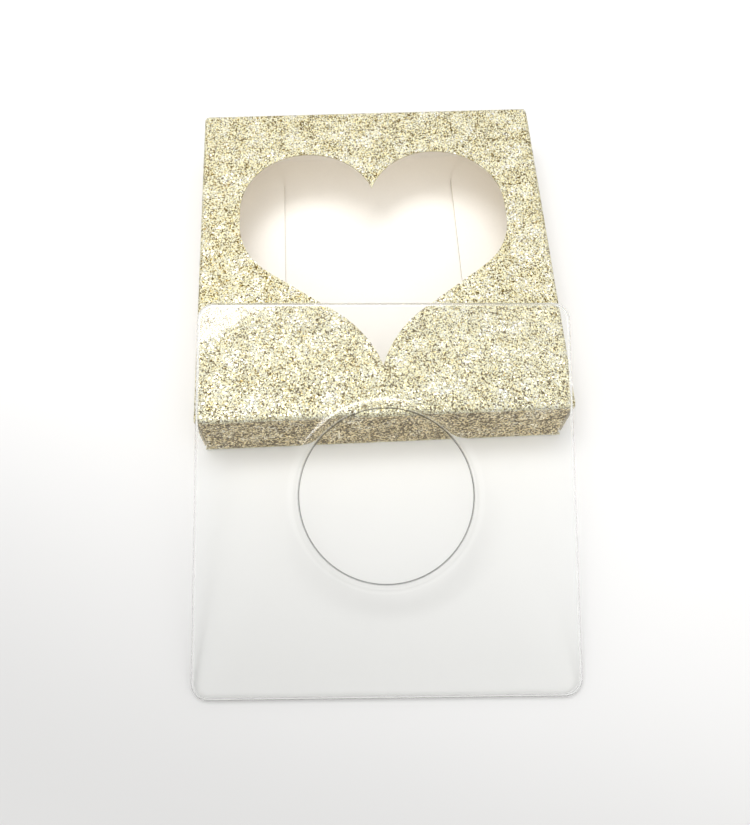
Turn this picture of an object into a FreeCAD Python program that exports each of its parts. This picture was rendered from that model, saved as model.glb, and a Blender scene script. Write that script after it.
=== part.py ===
import FreeCAD, Part
import math
import operator
import os

import Sketcher

# A square folding carton of glitter card with a heart-shaped window, and the clear lash tray that
# leans on its front top edge. X runs across the two end closures, Y from the front wall to the back
# wall and Z up. The origin is the middle of the carton's underside. Lengths are in millimetres.

SIZES = (
    ("carton_width", 73.0, "outside, over the two closures"),
    ("carton_depth", 75.0, "outside, over the front and back walls"),
    ("carton_height", 15.0, "outside"),
    ("card_thickness", 0.35, "one layer of card"),
    ("fold_radius", 0.9, "outside of a crease"),
    ("fold_land", 0.15, "flat card between a crease and the next panel"),
    ("crease_round", 0.2, "inside edges of a closure, where its card bends"),
    ("corner_radius", 1.0, "corners of the window panel, seen from above"),
    ("panel_clearance", 0.15, "room between card layers that slide on each other"),
    ("closure_inset", 0.6, "closure edge behind the outside of the walls"),
    ("tab_length", 16.6, "tuck tab from the closure's outside to its free edge"),
    ("tab_corner_radius", 8.0, "free corners of a tuck tab"),
    ("dust_flap_length", 24.0, "dust flap from its crease to its free end"),
    ("dust_flap_taper", 2.5, "how much each edge of a dust flap draws in"),
    ("dust_flap_corner", 2.0, "free corners of a dust flap"),
    ("glue_flap_height", 11.0, "glue flap, from the table"),
    ("glue_flap_taper", 4.0, "slanted ends of the glue flap"),
    ("heart_lobe_radius", 14.6, "round lobes of the heart"),
    ("heart_lobe_spacing", 27.4, "between the lobes' centres"),
    ("heart_lobe_rise", 11.0, "lobes' centres behind the panel's middle"),
    ("heart_cheek", 3.9, "straight sides below the lobes"),
    ("heart_tip_reach", 27.1, "heart's tip in front of the panel's middle"),
    ("heart_flank_angle", 36.5, "straight flanks, from the front wall's line, in degrees"),
    ("heart_tip_flare", 24.4, "hollow curve of the flanks beside the tip"),
    ("tray_clearance", 0.15, "tray to the dust flaps when it lies in the carton"),
    ("tray_sheet", 0.28, "plastic sheet of the tray"),
    ("tray_skirt", 1.6, "height of the tray's turned-down edge"),
    ("tray_corner_radius", 3.3, "tray corners, seen from above"),
    ("tray_edge_radius", 0.5, "inside bend between the plate and the skirt"),
    ("disc_foot_radius", 17.1, "raised disc where it meets the plate"),
    ("disc_wall_lean", 1.0, "how far the disc's wall leans in from its foot to its rim"),
    ("disc_height", 1.8, "raised disc over the plate"),
    ("disc_rim_bend", 0.12, "outside bend of the disc's sharp rim"),
    ("disc_foot_bend", 2.3, "soft hollow bend round the disc's foot"),
    ("lean_distance", 49.5, "tray foot in front of the front wall"),
    ("lean_offset", -2.35, "tray foot's middle to the side of the carton's middle"),
    ("lean_yaw", -2.35, "tray turned against the carton, in degrees"),
    ("lean_clearance", 0.2, "tray rim over the carton's top edge"),
)

DOCUMENT = "lash_case"
SHEET = "sizes"
TOUCH = 1e-4


class Size:
    """A number that carries the spreadsheet formula it comes from."""

    def __init__(self, formula, number):
        self.formula = formula
        self.number = number

    def __add__(self, other):
        return combined(self, "+", other)

    def __sub__(self, other):
        return combined(self, "-", other)

    def __rsub__(self, other):
        return combined(other, "-", self)

    def __mul__(self, other):
        return combined(self, "*", other)

    def __rmul__(self, other):
        return combined(other, "*", self)

    def __truediv__(self, other):
        return combined(self, "/", other)

    def __neg__(self):
        return combined(0, "-", self)


ARITHMETIC = {"+": operator.add, "-": operator.sub, "*": operator.mul, "/": operator.truediv}


def combined(first, sign, second):
    """The Size that two Sizes or plain numbers give."""
    terms = [v if isinstance(v, Size) else Size(repr(v), v) for v in (first, second)]
    formula = f"({terms[0].formula} {sign} {terms[1].formula})"
    return Size(formula, ARITHMETIC[sign](terms[0].number, terms[1].number))


def fill_sheet(doc):
    """Writes the driving dimensions and returns them as Sizes by name."""
    sheet = doc.addObject("Spreadsheet::Sheet", SHEET)
    for row, (name, number, note) in enumerate(SIZES, start=1):
        sheet.set(f"A{row}", name)
        sheet.set(f"B{row}", str(number))
        sheet.setAlias(f"B{row}", name)
        sheet.set(f"C{row}", note)
    doc.recompute()
    return {name: Size(f"{SHEET}.{name}", float(sheet.get(name))) for name, _, _ in SIZES}


document = FreeCAD.newDocument(DOCUMENT)
size = fill_sheet(document)

# Sizes that more than one piece takes.
width = size["carton_width"]
depth = size["carton_depth"]
height = size["carton_height"]
card = size["card_thickness"]
fold = size["fold_radius"]
slack = size["panel_clearance"]
lip = fold + size["fold_land"]
wall_half_width = width / 2 - card - slack
closure_bottom = card + slack + lip
closure_top = height - lip
inner_depth = depth / 2 - card


def bind(thing, prop, value):
    """Ties a property to the sheet."""
    thing.setExpression(prop, value.formula)


def new_body(label):
    """An empty body with the label that names its file."""
    body = document.addObject("PartDesign::Body", label)
    body.Label = label
    return body


def place(body, x=None, y=None, z=None, half_turn=False):
    """Puts a body in the assembly, turned end for end about Z where the other end carries its twin."""
    if half_turn:
        body.Placement.Rotation = FreeCAD.Rotation(FreeCAD.Vector(0, 0, 1), 180)
    for axis, value in (("x", x), ("y", y), ("z", z)):
        if value is not None:
            bind(body, f"Placement.Base.{axis}", value)


def attach(thing, body, role):
    """Lays a sketch or a primitive on one of the body's own origin planes."""
    plane = next(f for f in body.Origin.OriginFeatures if f.Role == role)
    thing.AttachmentSupport = (plane, [""])
    thing.MapMode = "FlatFace"


def new_sketch(body, name, role):
    """An empty sketch on one of the body's origin planes."""
    sketch = body.newObject("Sketcher::SketchObject", name)
    attach(sketch, body, role)
    return sketch


def named(sketch, name, constraint, value):
    """Adds a dimension and ties it to the sheet."""
    index = sketch.addConstraint(constraint)
    sketch.renameConstraint(index, name)
    bind(sketch, f"Constraints.{name}", value)


def coordinate(sketch, name, axis, item, end, value):
    """Fixes one coordinate of a point, measured from the sketch's origin."""
    kind = f"Distance{axis}"
    if value.number < 0:
        named(sketch, name, Sketcher.Constraint(kind, item, end, -1, 1, -value.number), -value)
    else:
        named(sketch, name, Sketcher.Constraint(kind, -1, 1, item, end, value.number), value)


def polygon(sketch, corners):
    """A closed outline through corners given as pairs of Sizes, or as 0 where a corner is on an axis."""
    numbers = [[v.number if isinstance(v, Size) else v for v in c] for c in corners]
    points = [FreeCAD.Vector(x, y, 0) for x, y in numbers]
    last = len(points) - 1
    for i, start in enumerate(points):
        sketch.addGeometry(Part.LineSegment(start, points[0 if i == last else i + 1]))
    for i in range(len(points)):
        sketch.addConstraint(Sketcher.Constraint("Coincident", i, 2, 0 if i == last else i + 1, 1))
    for i, corner in enumerate(corners):
        for axis, value, own_axis in (("X", corner[0], -2), ("Y", corner[1], -1)):
            if isinstance(value, Size):
                coordinate(sketch, f"corner_{i}_{axis.lower()}", axis, i, 1, value)
            else:
                sketch.addConstraint(Sketcher.Constraint("PointOnObject", i, 1, own_axis))


def rectangle(sketch, left, right, bottom, top):
    """A rectangle with its sides along the sketch's axes."""
    polygon(sketch, ((left, bottom), (right, bottom), (right, top), (left, top)))


def pad(body, sketch, length):
    """Raises a sketch into a solid."""
    feature = body.newObject("PartDesign::Pad", "Pad")
    feature.Profile = sketch
    bind(feature, "Length", length)
    document.recompute()
    return feature


def block(body, left, right, front, back, tall):
    """The upright block that a folded piece of card is hollowed out of."""
    sketch = new_sketch(body, "Outline", "XY_Plane")
    rectangle(sketch, left, right, front, back)
    return pad(body, sketch, tall)


def edges_where(feature, test):
    """Names of the feature's edges whose box passes the test."""
    edges = feature.Shape.Edges
    return [f"Edge{i}" for i, e in enumerate(edges, start=1) if test(e.BoundBox)]


def faces_where(feature, test):
    """Names of the feature's faces whose box passes the test."""
    faces = feature.Shape.Faces
    return [f"Face{i}" for i, f in enumerate(faces, start=1) if test(f.BoundBox)]


def near(first, second):
    """True where two coordinates are the same."""
    return abs(first - second) < TOUCH


def dress(body, kind, base, names, prop, value):
    """Adds a fillet, chamfer or thickness to the named edges or faces of a feature."""
    if not names:
        raise RuntimeError(f"{body.Label}: nothing to put a {kind} on")
    feature = body.newObject(f"PartDesign::{kind}", kind)
    feature.Base = (base, names)
    bind(feature, prop, value)
    if kind == "Thickness":
        feature.Reversed = True
        feature.Join = 0
    document.recompute()
    return feature


def round_edges(body, base, radius, test):
    """Rounds the edges that pass the test."""
    return dress(body, "Fillet", base, edges_where(base, test), "Radius", radius)


def hollow(body, base, thickness, test):
    """Leaves a sheet under the solid's outside, open where a face passes the test."""
    return dress(body, "Thickness", base, faces_where(base, test), "Value", thickness)


def upright(box):
    """True for an upright edge."""
    return box.XLength < TOUCH and box.YLength < TOUCH


def level(box, z):
    """True for an edge or face that lies at one height."""
    return near(box.ZMin, z) and near(box.ZMax, z)


def heart_sketch(body):
    """The window: round lobes, straight cheeks and flanks and a drawn-out tip, alike on both sides."""
    sketch = new_sketch(body, "Heart", "XY_Plane")
    lobe = size["heart_lobe_radius"]
    lobe_x = size["heart_lobe_spacing"] / 2
    lobe_y = size["heart_lobe_rise"]
    cheek = size["heart_cheek"]
    flare = size["heart_tip_flare"]
    tip_y = -size["heart_tip_reach"]
    flank_angle = size["heart_flank_angle"]
    slope = math.radians(flank_angle.number)
    # The right half as a first guess: lobe, cheek, the round below it, flank and the hollow curve to the tip.
    outward = FreeCAD.Vector(math.sin(slope), -math.cos(slope), 0)
    down = FreeCAD.Vector(-math.cos(slope), -math.sin(slope), 0)
    lobe_centre = FreeCAD.Vector(lobe_x.number, lobe_y.number, 0)
    jaw_centre = lobe_centre - FreeCAD.Vector(0, cheek.number, 0)
    cheek_ends = [centre + FreeCAD.Vector(lobe.number, 0, 0) for centre in (jaw_centre, lobe_centre)]
    tip = FreeCAD.Vector(0, tip_y.number, 0)
    leave = jaw_centre + outward * lobe.number
    from_tip = leave + outward * flare.number - tip
    along = from_tip.dot(down)
    run = -along - math.sqrt(along**2 - from_tip.dot(from_tip) + flare.number**2)
    meet = leave + down * run
    flare_centre = meet + outward * flare.number
    to_meet = meet - flare_centre
    to_tip = tip - flare_centre
    arcs = (
        (lobe_centre, lobe, 0, math.acos(-lobe_x.number / lobe.number)),
        (jaw_centre, lobe, slope - math.pi / 2, 0),
        (flare_centre, flare, math.atan2(to_meet.y, to_meet.x), math.atan2(to_tip.y, to_tip.x)),
    )
    for side in (1, -1):
        for centre, radius, start, stop in arcs:
            middle = FreeCAD.Vector(side * centre.x, centre.y, 0)
            circle = Part.Circle(middle, FreeCAD.Vector(0, 0, 1), radius.number)
            span = (start, stop) if side > 0 else (math.pi - stop, math.pi - start)
            sketch.addGeometry(Part.ArcOfCircle(circle, *span))
        for ends in (cheek_ends, (meet, leave)):
            sketch.addGeometry(Part.LineSegment(*[FreeCAD.Vector(side * end.x, end.y, 0) for end in ends]))
    lobe_right, jaw_right, flare_right, cheek_right, flank_right = range(5)
    lobe_left, jaw_left, flare_left, cheek_left, flank_left = range(5, 10)
    for kind, *items in (
        ("Tangent", lobe_right, 1, cheek_right, 2),
        ("Tangent", cheek_right, 1, jaw_right, 2),
        ("Tangent", jaw_right, 1, flank_right, 2),
        ("Tangent", flank_right, 1, flare_right, 1),
        ("PointOnObject", lobe_right, 2, -2),
        ("PointOnObject", flare_right, 2, -2),
        ("Vertical", cheek_right),
        ("Equal", jaw_right, lobe_right),
        ("Coincident", lobe_left, 1, lobe_right, 2),
        ("Coincident", lobe_left, 2, cheek_left, 2),
        ("Coincident", jaw_left, 1, cheek_left, 1),
        ("Coincident", jaw_left, 2, flank_left, 2),
        ("Coincident", flare_left, 2, flank_left, 1),
        ("Coincident", flare_left, 1, flare_right, 2),
        ("Symmetric", cheek_left, 1, cheek_right, 1, -2),
        ("Symmetric", cheek_left, 2, cheek_right, 2, -2),
        ("Symmetric", flank_left, 1, flank_right, 1, -2),
        ("Symmetric", flank_left, 2, flank_right, 2, -2),
        ("Equal", lobe_left, lobe_right),
        ("Equal", jaw_left, jaw_right),
        ("Equal", flare_left, flare_right),
    ):
        sketch.addConstraint(Sketcher.Constraint(kind, *items))
    named(sketch, "lobe_radius", Sketcher.Constraint("Radius", lobe_right, lobe.number), lobe)
    named(sketch, "tip_flare", Sketcher.Constraint("Radius", flare_right, flare.number), flare)
    named(sketch, "flank_angle", Sketcher.Constraint("Angle", flank_right, slope), flank_angle)
    named(sketch, "cheek", Sketcher.Constraint("Distance", cheek_right, cheek.number), cheek)
    coordinate(sketch, "lobe_x", "X", lobe_right, 3, lobe_x)
    coordinate(sketch, "lobe_y", "Y", lobe_right, 3, lobe_y)
    coordinate(sketch, "tip_y", "Y", flare_right, 2, tip_y)
    return sketch


def make_window_panel():
    """The top panel, turned down at its four creases, with the heart cut through it."""
    body = new_body("window_panel")
    raised = block(body, -width / 2, width / 2, -depth / 2, depth / 2, lip)
    cornered = round_edges(body, raised, size["corner_radius"], upright)
    folded = round_edges(body, cornered, fold, lambda box: level(box, lip.number))
    hollow(body, folded, card, lambda box: level(box, 0))
    window = body.newObject("PartDesign::Pocket", "Window")
    window.Profile = heart_sketch(body)
    window.Type = "ThroughAll"
    window.Midplane = True
    place(body, z=height - lip)


def make_wall(label, y, half_turn, bottom=None):
    """A front or back wall with the two corner folds that its dust flaps hang on."""
    body = new_body(label)
    tall = closure_top - bottom if bottom else closure_top
    raised = block(body, -wall_half_width, wall_half_width, 0, lip, tall)
    folded = round_edges(body, raised, fold, lambda box: upright(box) and near(box.YMin, 0))
    hollow(
        body,
        folded,
        card,
        lambda box: level(box, 0) or level(box, tall.number) or near(box.YMin, lip.number),
    )
    place(body, y=y, z=bottom, half_turn=half_turn)


def make_base_panel():
    """The floor, creased up at the front and cut off bare at both ends."""
    body = new_body("base_panel")
    half_width = width / 2 - slack
    rear = inner_depth - lip
    raised = block(body, -half_width, half_width, -depth / 2, rear, lip)
    front = -depth.number / 2
    folded = round_edges(body, raised, fold, lambda box: level(box, 0) and near(box.YMax, front))
    hollow(
        body,
        folded,
        card,
        lambda box: level(box, lip.number) or near(box.YMin, rear.number) or box.XLength < TOUCH,
    )


def make_glue_flap():
    """The seam: creased up from the floor's rear edge and glued inside the back wall."""
    body = new_body("glue_flap")
    half_width = wall_half_width - fold - slack
    tall = size["glue_flap_height"]
    front = inner_depth - lip
    raised = block(body, -half_width, half_width, front, inner_depth, tall)
    rear = inner_depth.number
    folded = round_edges(body, raised, fold, lambda box: level(box, 0) and near(box.YMin, rear))
    sheet = hollow(
        body,
        folded,
        card,
        lambda box: level(box, tall.number) or near(box.YMax, front.number) or box.XLength < TOUCH,
    )
    ends = edges_where(sheet, lambda box: level(box, tall.number) and box.XLength < TOUCH)
    dress(body, "Chamfer", sheet, ends, "Size", size["glue_flap_taper"])


def make_closure(label, half_turn):
    """An end panel, from the window panel's crease down to its tuck tab."""
    body = new_body(label)
    half_depth = depth / 2 - size["closure_inset"]
    sketch = new_sketch(body, "Outline", "YZ_Plane")
    rectangle(sketch, -half_depth, half_depth, closure_bottom, closure_top)
    plate = pad(body, sketch, card)
    round_edges(
        body,
        plate,
        size["crease_round"],
        lambda box: near(box.XMax, 0) and box.ZLength < TOUCH,
    )
    inside = width / 2 - card
    place(body, x=-inside if half_turn else inside, half_turn=half_turn)


def make_tuck_tab(label, half_turn):
    """A tab that turns in under the closure and lies on the floor, with round free corners."""
    body = new_body(label)
    outer = width / 2
    inner = outer - size["tab_length"]
    half_depth = depth / 2 - lip - slack
    raised = block(body, inner, outer, -half_depth, half_depth, lip)
    folded = round_edges(body, raised, fold, lambda box: level(box, 0) and near(box.XMin, outer.number))
    sheet = hollow(
        body,
        folded,
        card,
        lambda box: level(box, lip.number) or near(box.XMax, inner.number) or box.YLength < TOUCH,
    )
    free = edges_where(sheet, lambda box: upright(box) and near(box.XMin, inner.number))
    dress(body, "Fillet", sheet, free, "Radius", size["tab_corner_radius"])
    place(body, z=card + slack, half_turn=half_turn)


def make_dust_flap(label, right, back):
    """A side flap behind a closure, narrower at its free end, on a corner fold of a wall."""
    body = new_body(label)
    bottom = card + slack + fold + slack
    top = height - fold - slack
    taper = size["dust_flap_taper"]
    length = size["dust_flap_length"]
    sketch = new_sketch(body, "Outline", "YZ_Plane")
    polygon(sketch, ((0, bottom), (length, bottom + taper), (length, top - taper), (0, top)))
    plate = pad(body, sketch, card)
    end = length.number
    round_edges(
        body,
        plate,
        size["dust_flap_corner"],
        lambda box: near(box.YMin, end) and box.XLength > TOUCH and box.ZLength < TOUCH,
    )
    hinge_y = depth / 2 - lip
    # A half turn puts a flap of the front wall's other end on the back wall.
    starts_at_left = right == back
    x = -wall_half_width if starts_at_left else wall_half_width - card
    place(body, x=-x if back else x, y=hinge_y if back else -hinge_y, half_turn=back)


def lean_tilt():
    """The tray's slope in radians, with its foot on the table and its rim on the carton's top edge."""
    yaw = math.radians(size["lean_yaw"].number)
    reach = size["lean_distance"].number
    foot = size["lean_offset"].number
    half = width.number / 2
    # The foot's line lies aslant, so the nearer front corner of the carton carries the tray.
    nearest = min(reach * math.cos(yaw) - (x - foot) * math.sin(yaw) for x in (-half, half))
    up = height.number - fold.number
    along = nearest + fold.number
    over = -fold.number - size["lean_clearance"].number
    return math.acos(over / math.hypot(up, along)) - math.atan2(along, up)


def make_lash_tray():
    """The clear tray: a square plate with a turned-down skirt and a raised round disc, open below."""
    body = new_body("lash_tray")
    sheet = size["tray_sheet"]
    skirt = size["tray_skirt"]
    room = 4 * card + 2 * slack + 2 * size["tray_clearance"]
    half_width = (width - room) / 2
    long = depth - room
    foot_radius = size["disc_foot_radius"]
    foot_across = 2 * foot_radius.number
    rim_height = skirt.number + size["disc_height"].number

    def at_foot(box):
        """True for the circle where the disc meets the plate."""
        on_plate = level(box, skirt.number)
        return on_plate and near(box.XLength, foot_across) and near(box.YLength, foot_across)

    def at_outline(box):
        """True for the plate's outer edge."""
        at_end = near(box.YMin, 0) or near(box.YMax, long.number)
        at_side = near(abs(box.XMin + box.XMax), 2 * half_width.number)
        return level(box, skirt.number) and (at_end or at_side)

    raised = block(body, -half_width, half_width, 0, long, skirt)
    round_edges(body, raised, size["tray_corner_radius"], upright)
    disc = body.newObject("PartDesign::AdditiveCone", "Disc")
    bind(disc, "Radius1", foot_radius)
    bind(disc, "Radius2", foot_radius - size["disc_wall_lean"])
    bind(disc, "Height", size["disc_height"])
    bind(disc, "AttachmentOffset.Base.y", long / 2)
    bind(disc, "AttachmentOffset.Base.z", skirt)
    attach(disc, body, "XY_Plane")
    document.recompute()
    foot = round_edges(body, disc, size["disc_foot_bend"], at_foot)
    edge = round_edges(body, foot, size["tray_edge_radius"] + sheet, at_outline)
    formed = hollow(body, edge, sheet, lambda box: level(box, 0))
    round_edges(body, formed, size["disc_rim_bend"], lambda box: level(box, rim_height))
    place(body, x=size["lean_offset"], y=-depth / 2 - size["lean_distance"])
    turn = FreeCAD.Rotation(FreeCAD.Vector(0, 0, 1), size["lean_yaw"].number)
    slope = FreeCAD.Rotation(FreeCAD.Vector(1, 0, 0), math.degrees(lean_tilt()))
    body.Placement.Rotation = turn * slope


def build():
    """Makes every piece of the case."""
    make_window_panel()
    make_wall("front_wall", -depth / 2, half_turn=False, bottom=lip)
    make_wall("back_wall", depth / 2, half_turn=True)
    make_base_panel()
    make_glue_flap()
    for side in ("left", "right"):
        make_closure(f"{side}_closure", half_turn=side == "left")
        make_tuck_tab(f"{side}_tuck_tab", half_turn=side == "left")
        for wall in ("front", "back"):
            make_dust_flap(f"{wall}_{side}_dust_flap", right=side == "right", back=wall == "back")
    make_lash_tray()
    document.recompute()


def check_and_write():
    """Writes each piece, once nothing in the document has failed."""
    for thing in document.Objects:
        if "Invalid" in thing.State or "Error" in thing.State:
            raise RuntimeError(f"{thing.Label} failed: {thing.State}")
    bodies = [thing for thing in document.Objects if thing.TypeId == "PartDesign::Body"]
    for body in bodies:
        if body.Shape.isNull() or not body.Shape.isValid() or len(body.Shape.Solids) != 1:
            raise RuntimeError(f"{body.Label} is not one sound solid")
    os.makedirs("parts", exist_ok=True)
    for body in bodies:
        body.Shape.exportStep(f"parts/{body.Label}.step")
        print(f"{body.Label}: {body.Shape.Volume:.2f} mm3")


build()
check_and_write()
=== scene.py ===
"""Looks of a false eyelash case: a folded carton of glitter card and its clear tray.

The carton has a heart window and lies on a white table, and the tray leans on its front top edge.
Lengths are in metres.
"""

import logging
import math
from dataclasses import dataclass
from typing import Any, Union

import bpy
from mathutils import Matrix, Vector

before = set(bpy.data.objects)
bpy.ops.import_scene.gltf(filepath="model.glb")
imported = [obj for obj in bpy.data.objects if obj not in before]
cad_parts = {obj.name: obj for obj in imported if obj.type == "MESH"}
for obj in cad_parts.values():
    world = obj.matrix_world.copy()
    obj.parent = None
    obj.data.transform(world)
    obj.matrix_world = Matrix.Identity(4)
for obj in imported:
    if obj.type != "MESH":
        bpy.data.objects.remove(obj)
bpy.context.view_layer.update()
MM = 0.001
# Half the length of a block's side that lies beyond every piece.
FAR = 10.0
# The middle of the range of a noise or of a flake's random number.
MIDDLE = 0.5
# A ray's depth is a whole number, and under this until its first bounce.
NO_BOUNCE_YET = 0.5
# Sockets of the Mix node that share their names: first input, second input and result.
COLOUR_SOCKETS = (6, 7, 2)
VECTOR_SOCKETS = (4, 5, 1)

log = logging.getLogger("lash_case")

Pair = tuple[float, float]
Triple = tuple[float, float, float]
Number = Union["Value", float]

ORIGIN: Triple = (0.0, 0.0, 0.0)
BLACK: Triple = (0.0, 0.0, 0.0)
WHITE: Triple = (1.0, 1.0, 1.0)


class Value:
    """A number socket that takes part in Python expressions."""

    def __init__(self, graph: "Graph", socket: bpy.types.NodeSocket) -> None:
        """Wraps an output socket of the graph's tree."""
        self.graph = graph
        self.socket = socket

    def __add__(self, other: Number) -> "Value":
        """Adds."""
        return self.graph.math("ADD", self, other)

    def __sub__(self, other: Number) -> "Value":
        """Takes away."""
        return self.graph.math("SUBTRACT", self, other)

    def __rsub__(self, other: Number) -> "Value":
        """Takes this away from a plain number."""
        return self.graph.math("SUBTRACT", other, self)

    def __mul__(self, other: Number) -> "Value":
        """Multiplies."""
        return self.graph.math("MULTIPLY", self, other)

    def __gt__(self, other: Number) -> "Value":
        """1 where this is greater, else 0."""
        return self.graph.math("GREATER_THAN", self, other)

    def __lt__(self, other: Number) -> "Value":
        """1 where this is less, else 0."""
        return self.graph.math("LESS_THAN", self, other)


class Graph:
    """The node tree of one material or of the world."""

    def __init__(self, tree: bpy.types.NodeTree) -> None:
        """Empties the tree."""
        self.tree = tree
        tree.nodes.clear()

    def node(
        self,
        kind: str,
        settings: dict[str, Any] | None = None,
        sockets: dict[str | int, Any] | None = None,
    ) -> bpy.types.Node:
        """Adds a node.

        Args:
            kind: The node's type, such as ShaderNodeTexNoise.
            settings: Its properties, and under "stops" a ramp's places and colours.
            sockets: A value, Value or socket for each input that isn't left as it is.

        Returns:
            The new node.
        """
        made = self.tree.nodes.new(kind)
        for name, setting in (settings or {}).items():
            if name == "stops":
                self._fill_ramp(made.color_ramp, setting)
            else:
                setattr(made, name, setting)
        for key, given in (sockets or {}).items():
            source = given.socket if isinstance(given, Value) else given
            if isinstance(source, bpy.types.NodeSocket):
                self.tree.links.new(source, made.inputs[key])
            else:
                made.inputs[key].default_value = source
        return made

    @staticmethod
    def _fill_ramp(ramp: bpy.types.ColorRamp, stops: list[tuple[float, Triple]]) -> None:
        """Gives a ramp its stops.

        Args:
            ramp: A new ramp, which has two stops.
            stops: Places from 0 to 1 and their colours.
        """
        while len(ramp.elements) < len(stops):
            ramp.elements.new(1.0)
        for element, (place, colour) in zip(ramp.elements, stops):
            element.position = place
            element.color = (*colour, 1.0)

    def math(self, operation: str, *operands: Number) -> Value:
        """Adds a Math node.

        Args:
            operation: The Math node's operation.
            operands: Numbers or Values.

        Returns:
            The result.
        """
        made = self.node("ShaderNodeMath", {"operation": operation}, dict(enumerate(operands)))
        return Value(self, made.outputs[0])

    def vector(self, operation: str, *operands: Any) -> bpy.types.NodeSocket:
        """Adds a Vector Math node.

        Args:
            operation: The Vector Math node's operation.
            operands: Triples or vector sockets.

        Returns:
            The vector that it gives.
        """
        settings = {"operation": operation}
        made = self.node("ShaderNodeVectorMath", settings, dict(enumerate(operands)))
        return made.outputs["Vector"]

    def scaled(self, vector: bpy.types.NodeSocket, factor: Number) -> bpy.types.NodeSocket:
        """Stretches a vector.

        Args:
            vector: The vector's socket.
            factor: What it is multiplied by.

        Returns:
            The longer or shorter vector.
        """
        settings = {"operation": "SCALE"}
        made = self.node("ShaderNodeVectorMath", settings, {0: vector, "Scale": factor})
        return made.outputs["Vector"]

    def dot(self, vector: bpy.types.NodeSocket, way: Triple) -> Value:
        """Measures a vector along a direction.

        Args:
            vector: The vector's socket.
            way: The direction.

        Returns:
            How far the vector reaches that way.
        """
        settings = {"operation": "DOT_PRODUCT"}
        made = self.node("ShaderNodeVectorMath", settings, {0: vector, 1: way})
        return Value(self, made.outputs["Value"])

    def length(self, vector: bpy.types.NodeSocket) -> Value:
        """Measures a vector.

        Args:
            vector: The vector's socket.

        Returns:
            Its length.
        """
        made = self.node("ShaderNodeVectorMath", {"operation": "LENGTH"}, {0: vector})
        return Value(self, made.outputs["Value"])

    def parts(self, vector: bpy.types.NodeSocket) -> list[Value]:
        """Takes a vector or colour apart.

        Args:
            vector: Its socket.

        Returns:
            Its three numbers.
        """
        made = self.node("ShaderNodeSeparateXYZ", None, {0: vector})
        return [Value(self, output) for output in made.outputs]

    def between(self, limits: Pair, number: Value) -> Value:
        """Adds a soft step.

        Args:
            limits: Where the step starts and ends.
            number: The number that is looked at.

        Returns:
            0 up to the first limit and 1 from the second.
        """
        low, high = limits
        made = self.node(
            "ShaderNodeMapRange",
            {"interpolation_type": "SMOOTHSTEP"},
            {"Value": number, "From Min": low, "From Max": high},
        )
        return Value(self, made.outputs["Result"])

    def noise(self, place: bpy.types.NodeSocket, across: float, detail: float) -> Value:
        """Adds a noise.

        Args:
            place: The point's coordinates.
            across: The width of its spots in metres.
            detail: How many finer layers it has.

        Returns:
            The noise, from 0 to 1.
        """
        sockets = {"Vector": place, "Scale": 1.0 / across, "Detail": detail}
        made = self.node("ShaderNodeTexNoise", None, sockets)
        return Value(self, made.outputs["Fac"])

    def colour_mix(self, factor: Number, first: Any, second: Any) -> bpy.types.NodeSocket:
        """Mixes two colours.

        Args:
            factor: 0 for the first colour, 1 for the second.
            first: A triple or a colour socket.
            second: The same.

        Returns:
            The mixed colour.
        """
        colours = [(*c, 1.0) if isinstance(c, tuple) else c for c in (first, second)]
        one, two, result = COLOUR_SOCKETS
        sockets = {"Factor": factor, one: colours[0], two: colours[1]}
        made = self.node("ShaderNodeMix", {"data_type": "RGBA"}, sockets)
        return made.outputs[result]

    def vector_mix(
        self, factor: Number, first: bpy.types.NodeSocket, second: bpy.types.NodeSocket
    ) -> bpy.types.NodeSocket:
        """Mixes two vectors.

        Args:
            factor: 0 for the first vector, 1 for the second.
            first: A vector socket.
            second: The same.

        Returns:
            The mixed vector.
        """
        one, two, result = VECTOR_SOCKETS
        sockets = {"Factor": factor, one: first, two: second}
        made = self.node("ShaderNodeMix", {"data_type": "VECTOR"}, sockets)
        return made.outputs[result]

    def shader_mix(
        self, factor: Any, first: bpy.types.NodeSocket, second: bpy.types.NodeSocket
    ) -> bpy.types.NodeSocket:
        """Mixes two shaders.

        Args:
            factor: 0 for the first shader, 1 for the second, as a Value or a socket.
            first: A shader socket.
            second: The same.

        Returns:
            The mixed shader.
        """
        made = self.node("ShaderNodeMixShader", None, {0: factor, 1: first, 2: second})
        return made.outputs[0]

    def clear(self, colour: Triple) -> bpy.types.NodeSocket:
        """Adds a shader that lets light straight through.

        Args:
            colour: The share that passes.

        Returns:
            The shader.
        """
        made = self.node("ShaderNodeBsdfTransparent", None, {"Color": (*colour, 1.0)})
        return made.outputs[0]

    def place(self) -> bpy.types.NodeSocket:
        """The point's Object coordinates."""
        return self.node("ShaderNodeTexCoord").outputs["Object"]

    def output(self, shader: bpy.types.NodeSocket) -> None:
        """Ends a material's tree.

        Args:
            shader: What its surface shows.
        """
        self.node("ShaderNodeOutputMaterial", None, {"Surface": shader})


def new_material(name: str) -> tuple[bpy.types.Material, Graph]:
    """An empty node material.

    Args:
        name: The finish's name.

    Returns:
        The material and its graph.
    """
    material = bpy.data.materials.new(name)
    material.use_nodes = True
    return material, Graph(material.node_tree)


def wear(thing: bpy.types.Object, material: bpy.types.Material) -> None:
    """Puts one material on all of an object's faces.

    Args:
        thing: The object.
        material: Its only material.
    """
    thing.data.materials.clear()
    thing.data.materials.append(material)


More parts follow.
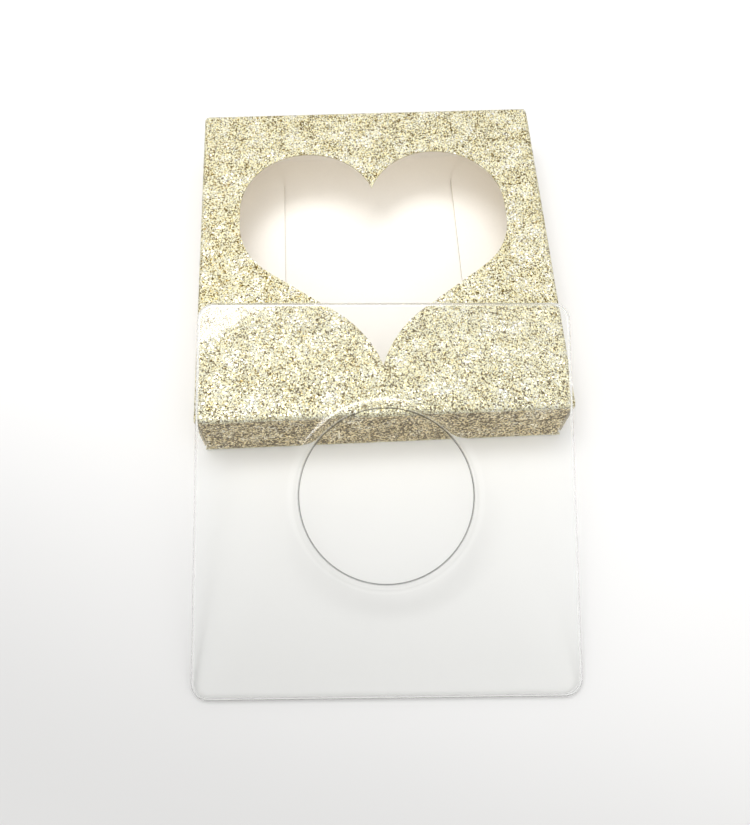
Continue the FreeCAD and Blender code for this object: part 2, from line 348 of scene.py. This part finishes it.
@dataclass(frozen=True)
class RoundedBox:
    """The block whose surface is the glitter side of some panels."""

    centre: Triple
    half: Triple
    radius: float

    def depth(self, graph: Graph, place: bpy.types.NodeSocket) -> Value:
        """How far a point lies under the block's surface.

        Args:
            graph: The material's graph.
            place: The point's Object coordinates.

        Returns:
            The depth in metres, 0 on the surface.
        """
        core = tuple(h - self.radius for h in self.half)
        from_centre = graph.vector("ABSOLUTE", graph.vector("SUBTRACT", place, self.centre))
        past_core = graph.vector("SUBTRACT", from_centre, core)
        x, y, z = graph.parts(past_core)
        highest = graph.math("MAXIMUM", graph.math("MAXIMUM", x, y), z)
        outside = graph.vector("MAXIMUM", past_core, ORIGIN)
        return self.radius - graph.length(outside) - graph.math("MINIMUM", highest, 0.0)


@dataclass(frozen=True)
class GlitterCard:
    """Card with metallic flakes bonded to one side, a pale core and a white inside.

    A flake's tone picks its colour from dark to spark. Clusters of flakes drift lighter or darker
    together, and dark crevices of painted shade run between them. The glossiest flakes take a
    painted glint of near-white colour, and some are mirrors.
    """

    film: float = 0.07 * MM
    thickness: float = 0.35 * MM
    lining_margin: float = 0.05 * MM
    coarse_flake: float = 0.26 * MM
    fine_flake: float = 0.19 * MM
    fine_share: float = 0.5
    cluster: float = 3.5 * MM
    tone_drift: float = 0.45
    # Painted glint: the glossiest flakes, more of them in some clusters, turn near white to stand
    # for sparkles.
    painted_glint_drift: float = 0.9
    painted_glint_from: float = 0.97
    mirror_from: float = 0.7
    crevice: float = 0.36 * MM
    crevice_limits: Pair = (0.012, 0.04)
    crevice_shade: float = 0.95
    fibre: float = 0.5 * MM
    tilt: float = 0.7
    # Painted shade: how far every flake's tone is shifted darker, for panels that stand upright.
    painted_shade: float = 0.0
    stops: tuple[float, ...] = (0.2, 0.245, 0.29, 0.5, 0.8)
    dark: Triple = (0.1, 0.06, 0.0)
    olive: Triple = (0.45, 0.35, 0.13)
    champagne: Triple = (0.93, 0.83, 0.49)
    pale: Triple = (0.99, 0.92, 0.58)
    spark: Triple = (1.0, 0.98, 0.78)
    # The painted glint's colour.
    painted_glint: Triple = (1.0, 1.0, 0.97)
    core: Triple = (0.7, 0.63, 0.47)
    core_fade: float = 0.85
    lining: Triple = (0.985, 0.958, 0.909)
    lining_fade: float = 0.95
    film_metallic: float = 0.1
    mirror_metallic: float = 0.8
    card_roughness: float = 0.75
    film_polish: float = 0.2
    mirror_polish: float = 0.4
    specular: float = 0.25

    @staticmethod
    def flakes(graph: Graph, place: bpy.types.NodeSocket, across: float) -> bpy.types.NodeSocket:
        """One layer of flakes.

        Args:
            graph: The material's graph.
            place: The point's Object coordinates.
            across: The flakes' width in metres.

        Returns:
            Each flake's own three random numbers, as a colour.
        """
        cells = graph.node("ShaderNodeTexVoronoi", None, {"Vector": place, "Scale": 1.0 / across})
        return cells.outputs["Color"]

    @staticmethod
    def fibrous(graph: Graph, grain: Value, colour: Triple, fade: float) -> bpy.types.NodeSocket:
        """A paper colour with a faint grain.

        Args:
            graph: The material's graph.
            grain: The fibres' noise.
            colour: The paper's colour.
            fade: The share of it that is left between the fibres.

        Returns:
            The colour.
        """
        return graph.colour_mix(grain, tuple(fade * c for c in colour), colour)

    def material(self, name: str, outside: RoundedBox) -> bpy.types.Material:
        """The card of one piece.

        Args:
            name: The material's name.
            outside: The block whose surface is the glitter side.

        Returns:
            The material.
        """
        material, graph = new_material(name)
        place = graph.place()
        depth = outside.depth(graph, place)
        coarse = self.flakes(graph, place, self.coarse_flake)
        fine = self.flakes(graph, place, self.fine_flake)
        coarse_red, _, _ = graph.parts(coarse)
        chance = graph.colour_mix(coarse_red > self.fine_share, fine, coarse)
        _, tone, gloss = graph.parts(chance)
        drift = graph.noise(place, self.cluster, detail=2.0) - MIDDLE
        # The painted shade shifts every flake's tone towards the dark end of the ramp.
        shade = tone + drift * self.tone_drift - self.painted_shade
        colours = (self.dark, self.olive, self.champagne, self.pale, self.spark)
        stops = list(zip(self.stops, colours))
        ramp = graph.node("ShaderNodeValToRGB", {"stops": stops}, {"Fac": shade})
        # Painted shade: dark crevices between the flakes, which also take the mirror shine away.
        worm = graph.math("ABSOLUTE", graph.noise(place, self.crevice, detail=1.0) - MIDDLE)
        shadow = (1.0 - graph.between(self.crevice_limits, worm)) * self.crevice_shade
        # Painted glint: flakes past this gloss get the near-white colour instead of their tone.
        painted_glint = gloss + drift * self.painted_glint_drift > self.painted_glint_from
        flake = graph.colour_mix(painted_glint, ramp.outputs["Color"], self.painted_glint)
        glitter = graph.colour_mix(shadow, flake, self.dark)
        mirror = (gloss > self.mirror_from) * (1.0 - shadow)
        grain = graph.noise(place, self.fibre, detail=4.0)
        lining = self.fibrous(graph, grain, self.lining, self.lining_fade)
        cut = self.fibrous(graph, grain, self.core, self.core_fade)
        is_lining = depth > self.thickness - self.lining_margin
        is_film = depth < self.film
        colour = graph.colour_mix(is_film, graph.colour_mix(is_lining, cut, lining), glitter)
        normal = graph.node("ShaderNodeNewGeometry").outputs["Normal"]
        random_way = graph.vector("SUBTRACT", chance, (MIDDLE, MIDDLE, MIDDLE))
        leaning = graph.vector("ADD", normal, graph.scaled(random_way, self.tilt))
        flake_normal = graph.vector("NORMALIZE", leaning)
        shader = graph.node(
            "ShaderNodeBsdfPrincipled",
            None,
            {
                "Base Color": colour,
                "Metallic": is_film * (mirror * self.mirror_metallic + self.film_metallic),
                "Roughness": self.card_roughness
                - is_film * (mirror * self.mirror_polish + self.film_polish),
                "Specular IOR Level": self.specular,
                "Normal": graph.vector_mix(is_film, normal, flake_normal),
            },
        )
        graph.output(shader.outputs[0])
        return material


@dataclass(frozen=True)
class DiscRim:
    """The sharp rim round the tray's raised disc."""

    centre: Triple = (-0.9626 * MM, -53.1917 * MM, 14.1025 * MM)
    axis: Triple = (-0.0122, -0.29719, 0.95474)
    inner: float = 15.7 * MM
    outer: float = 16.3 * MM

    def mask(self, graph: Graph, place: bpy.types.NodeSocket) -> Value:
        """Finds the rim.

        Args:
            graph: The material's graph.
            place: The point's Object coordinates.

        Returns:
            1 on the rim and 0 elsewhere.
        """
        offset = graph.vector("SUBTRACT", place, self.centre)
        radius = graph.length(graph.vector("CROSS_PRODUCT", offset, self.axis))
        return (radius > self.inner) * (radius < self.outer)


@dataclass(frozen=True)
class ClearPlastic:
    """Clear glossy sheet, formed with heat."""

    tint: Triple = (0.985, 0.99, 0.985)
    shadow: Triple = (0.985, 0.985, 0.98)
    edge_shadow: Triple = (0.35, 0.35, 0.34)
    edge_limits: Pair = (0.2, 0.7)
    thinned: float = 0.3
    refraction: float = 1.47
    roughness: float = 0.015
    scuff: float = 0.8 * MM
    scuff_roughness: float = 0.03
    ripple: float = 14 * MM
    ripple_height: float = 0.2 * MM
    ripple_strength: float = 0.1

    def material(self, name: str, rim: DiscRim) -> bpy.types.Material:
        """The tray's sheet.

        Args:
            name: The material's name.
            rim: Where the sheet is drawn thin, so that it hides less of what lies behind.

        Returns:
            The material.
        """
        material, graph = new_material(name)
        place = graph.place()
        scuff = graph.noise(place, self.scuff, detail=3.0)
        bump = graph.node(
            "ShaderNodeBump",
            None,
            {
                "Height": graph.noise(place, self.ripple, detail=1.0),
                "Strength": self.ripple_strength,
                "Distance": self.ripple_height,
            },
        )
        sheet = graph.node(
            "ShaderNodeBsdfPrincipled",
            None,
            {
                "Base Color": (*self.tint, 1.0),
                "Transmission Weight": 1.0,
                "IOR": self.refraction,
                "Roughness": scuff * self.scuff_roughness + self.roughness,
                "Normal": bump.outputs["Normal"],
            },
        )
        clear = graph.clear(self.shadow)
        facing = Value(graph, graph.node("ShaderNodeLayerWeight").outputs["Facing"])
        path = graph.node("ShaderNodeLightPath")
        # Light for the table and the card passes straight through, but less of it at the bends.
        at_bend = graph.between(self.edge_limits, facing)
        straight = graph.shader_mix(at_bend, clear, graph.clear(self.edge_shadow))
        thin = graph.shader_mix(rim.mask(graph, place) * self.thinned, sheet.outputs[0], clear)
        lit = graph.shader_mix(path.outputs["Is Diffuse Ray"], thin, straight)
        graph.output(graph.shader_mix(path.outputs["Is Shadow Ray"], lit, straight))
        return material


@dataclass
class Carton:
    """The folded card: window panel, walls, floor, closures and flaps."""

    half_width: float = 36.5 * MM
    half_depth: float = 37.5 * MM
    height: float = 15.0 * MM
    fold: float = 0.9 * MM
    wall_half_width: float = 36.0 * MM
    tab_bottom: float = 0.5 * MM
    level: GlitterCard = GlitterCard()
    # Upright panels wear a darker, warmer copy of the glitter: painted shade, with more dark
    # flakes and deeper colours.
    upright_painted_shade: GlitterCard = GlitterCard(
        coarse_flake=0.38 * MM,
        fine_flake=0.3 * MM,
        crevice=0.55 * MM,
        painted_shade=0.22,
        champagne=(0.88, 0.7, 0.38),
        pale=(0.96, 0.8, 0.45),
        spark=(1.0, 0.9, 0.63),
        painted_glint=(1.0, 0.94, 0.76),
    )

    def outside(self) -> RoundedBox:
        """The carton's own block."""
        half = (self.half_width, self.half_depth, self.height / 2)
        return RoundedBox((0.0, 0.0, self.height / 2), half, self.fold)

    def wall_block(self) -> RoundedBox:
        """The narrower block that the front and back walls fold round at their ends."""
        return RoundedBox(ORIGIN, (self.wall_half_width, self.half_depth, FAR), self.fold)

    def tab_block(self) -> RoundedBox:
        """The block whose underside and ends carry the tuck tabs' glitter."""
        centre = (0.0, 0.0, FAR + self.tab_bottom)
        return RoundedBox(centre, (self.half_width, FAR, FAR), self.fold)

    def flap_block(self) -> RoundedBox:
        """The block whose ends carry the dust flaps' glitter."""
        return RoundedBox(ORIGIN, (self.wall_half_width, FAR, FAR), self.fold)

    def dress(self) -> None:
        """Gives every panel its card."""
        flaps = tuple(f"{w}_{s}_dust_flap" for w in ("front", "back") for s in ("left", "right"))
        walls = ("front_wall", "back_wall", "glue_flap")
        blocks = {
            "panel_card": (self.level, self.outside(), ("window_panel", "base_panel")),
            "closure_card": (self.upright_painted_shade, self.outside(), ("left_closure", "right_closure")),
            "wall_card": (self.upright_painted_shade, self.wall_block(), walls),
            "tab_card": (self.upright_painted_shade, self.tab_block(), ("left_tuck_tab", "right_tuck_tab")),
            "flap_card": (self.upright_painted_shade, self.flap_block(), flaps),
        }
        for name, (finish, block, nodes) in blocks.items():
            material = finish.material(name, block)
            for node in nodes:
                wear(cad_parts[node], material)
                log.info("dressed %s with %s", node, name)


@dataclass
class LashTray:
    """The clear tray with its raised disc."""

    finish: ClearPlastic = ClearPlastic()
    rim: DiscRim = DiscRim()

    def dress(self) -> None:
        """Gives the tray its clear sheet."""
        wear(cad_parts["lash_tray"], self.finish.material("clear_plastic", self.rim))
        log.info("dressed lash_tray with clear_plastic")


@dataclass
class Studio:
    """The white table, the light over it and the camera.

    The camera's focal length is given in pixels of the photograph, whose height the sensor spans.
    """

    camera_place: Triple = (-8.31 * MM, -97.68 * MM, 153.74 * MM)
    camera_yaw: float = math.radians(-5.74)
    camera_pitch: float = math.radians(66.28)
    camera_roll: float = math.radians(2.85)
    camera_near: float = 0.005
    focal_pixels: float = 799.9
    photo_pixels: float = 825.0
    sensor: float = 36.0
    floor_size: float = 4.0
    floor_colour: Triple = (0.95, 0.945, 0.935)
    floor_roughness: float = 0.7
    floor_grain: float = 30 * MM
    grain_shade: float = 0.01
    # Painted shade on the table, darkest towards the front left.
    floor_shade: float = 0.29
    shade_way: Triple = (-0.45, -0.9, 0.0)
    shade_start: Pair = (0.02, 0.12)
    shade_end: Pair = (0.25, 0.9)
    ambient: float = 0.262
    glow_way: Triple = (0.0, -0.34, 0.94)
    glow_limits: Pair = (0.45, 0.95)
    glow: float = 4.2
    backdrop: float = 1.2
    horizon: float = 0.25
    horizon_limits: Pair = (0.1, 0.6)
    dim_way: Triple = (0.0, -0.45, 0.89)
    dim_limits: Pair = (0.9, 0.99)
    dim_level: float = 0.7
    box_place: Triple = (-0.0641, 0.0588, 0.45)
    box_size: Pair = (0.28, 0.17)
    box_turn: float = math.radians(26.8)
    box_power: float = 0.9
    bounces: int = 12

    def lay_floor(self) -> None:
        """The table's surface, with painted shade that greys it towards the front left."""
        bpy.ops.object.select_all(action="DESELECT")
        bpy.ops.mesh.primitive_plane_add(size=self.floor_size, location=ORIGIN)
        floor = bpy.context.object
        floor.name = "table"
        material, graph = new_material("table_white")
        place = graph.place()
        grain = graph.noise(place, self.floor_grain, detail=2.0)
        # Painted shade: the table greys towards the front left and turns white again further out.
        reach = graph.dot(place, self.shade_way)
        ended = graph.between(self.shade_end, reach)
        shade = graph.between(self.shade_start, reach) * (1.0 - ended)
        fade = shade * self.floor_shade + grain * self.grain_shade
        colour = graph.colour_mix(fade, self.floor_colour, BLACK)
        sockets = {"Base Color": colour, "Roughness": self.floor_roughness}
        shader = graph.node("ShaderNodeBsdfPrincipled", None, sockets)
        graph.output(shader.outputs[0])
        wear(floor, material)

    def hang_lamp(self) -> None:
        """A soft box overhead and behind."""
        turn = (0.0, 0.0, self.box_turn)
        bpy.ops.object.light_add(type="AREA", location=self.box_place, rotation=turn)
        lamp = bpy.context.object
        lamp.name = "soft_box"
        lamp.data.shape = "RECTANGLE"
        lamp.data.size, lamp.data.size_y = self.box_size
        lamp.data.energy = self.box_power

    def light_room(self) -> None:
        """A white room that lights the table mostly from overhead.

        What the camera sees of it, straight or in the plastic, is the backdrop. It is dimmer where
        the tray mirrors it and, but for the camera itself, near the horizon.
        """
        world = bpy.data.worlds.new("room")
        bpy.context.scene.world = world
        world.use_nodes = True
        graph = Graph(world.node_tree)
        path = graph.node("ShaderNodeLightPath")
        direct = Value(graph, path.outputs["Is Camera Ray"])
        seen = direct
        for ray in ("Is Glossy Ray", "Is Transmission Ray"):
            seen = graph.math("MAXIMUM", seen, Value(graph, path.outputs[ray]))
        seen = seen * (Value(graph, path.outputs["Diffuse Depth"]) < NO_BOUNCE_YET)
        direction = graph.node("ShaderNodeTexCoord").outputs["Generated"]
        _, _, rise = graph.parts(direction)
        high = graph.math("MAXIMUM", graph.between(self.horizon_limits, rise), direct)
        dim = graph.between(self.dim_limits, graph.dot(direction, self.dim_way))
        glow = graph.between(self.glow_limits, graph.dot(direction, self.glow_way))
        backdrop = (1.0 - dim * (1.0 - self.dim_level)) * self.backdrop
        backdrop = backdrop * (high * (1.0 - self.horizon) + self.horizon)
        room = (glow * self.glow + 1.0) * self.ambient
        strength = seen * backdrop + (1.0 - seen) * room
        sockets = {"Color": (*WHITE, 1.0), "Strength": strength}
        sky = graph.node("ShaderNodeBackground", None, sockets)
        graph.node("ShaderNodeOutputWorld", None, {"Surface": sky.outputs[0]})
        bpy.context.scene.cycles.diffuse_bounces = self.bounces

    def set_camera(self) -> None:
        """The camera at the photograph's angle."""
        camera = bpy.data.cameras.new("camera")
        camera.lens = self.focal_pixels * self.sensor / self.photo_pixels
        camera.sensor_width = self.sensor
        camera.clip_start = self.camera_near
        thing = bpy.data.objects.new("camera", camera)
        bpy.context.collection.objects.link(thing)
        turn = (
            Matrix.Rotation(self.camera_yaw, 4, "Z")
            @ Matrix.Rotation(math.pi / 2 - self.camera_pitch, 4, "X")
            @ Matrix.Rotation(self.camera_roll, 4, "Z")
        )
        thing.matrix_world = Matrix.Translation(Vector(self.camera_place)) @ turn
        bpy.context.scene.camera = thing
        bpy.context.scene.view_settings.view_transform = "Standard"


def main() -> None:
    """Dresses the case and sets up the studio."""
    logging.basicConfig(level=logging.INFO, format="%(message)s")
    Carton().dress()
    LashTray().dress()
    studio = Studio()
    studio.lay_floor()
    studio.hang_lamp()
    studio.light_room()
    studio.set_camera()


if __name__ == "__main__":
    main()
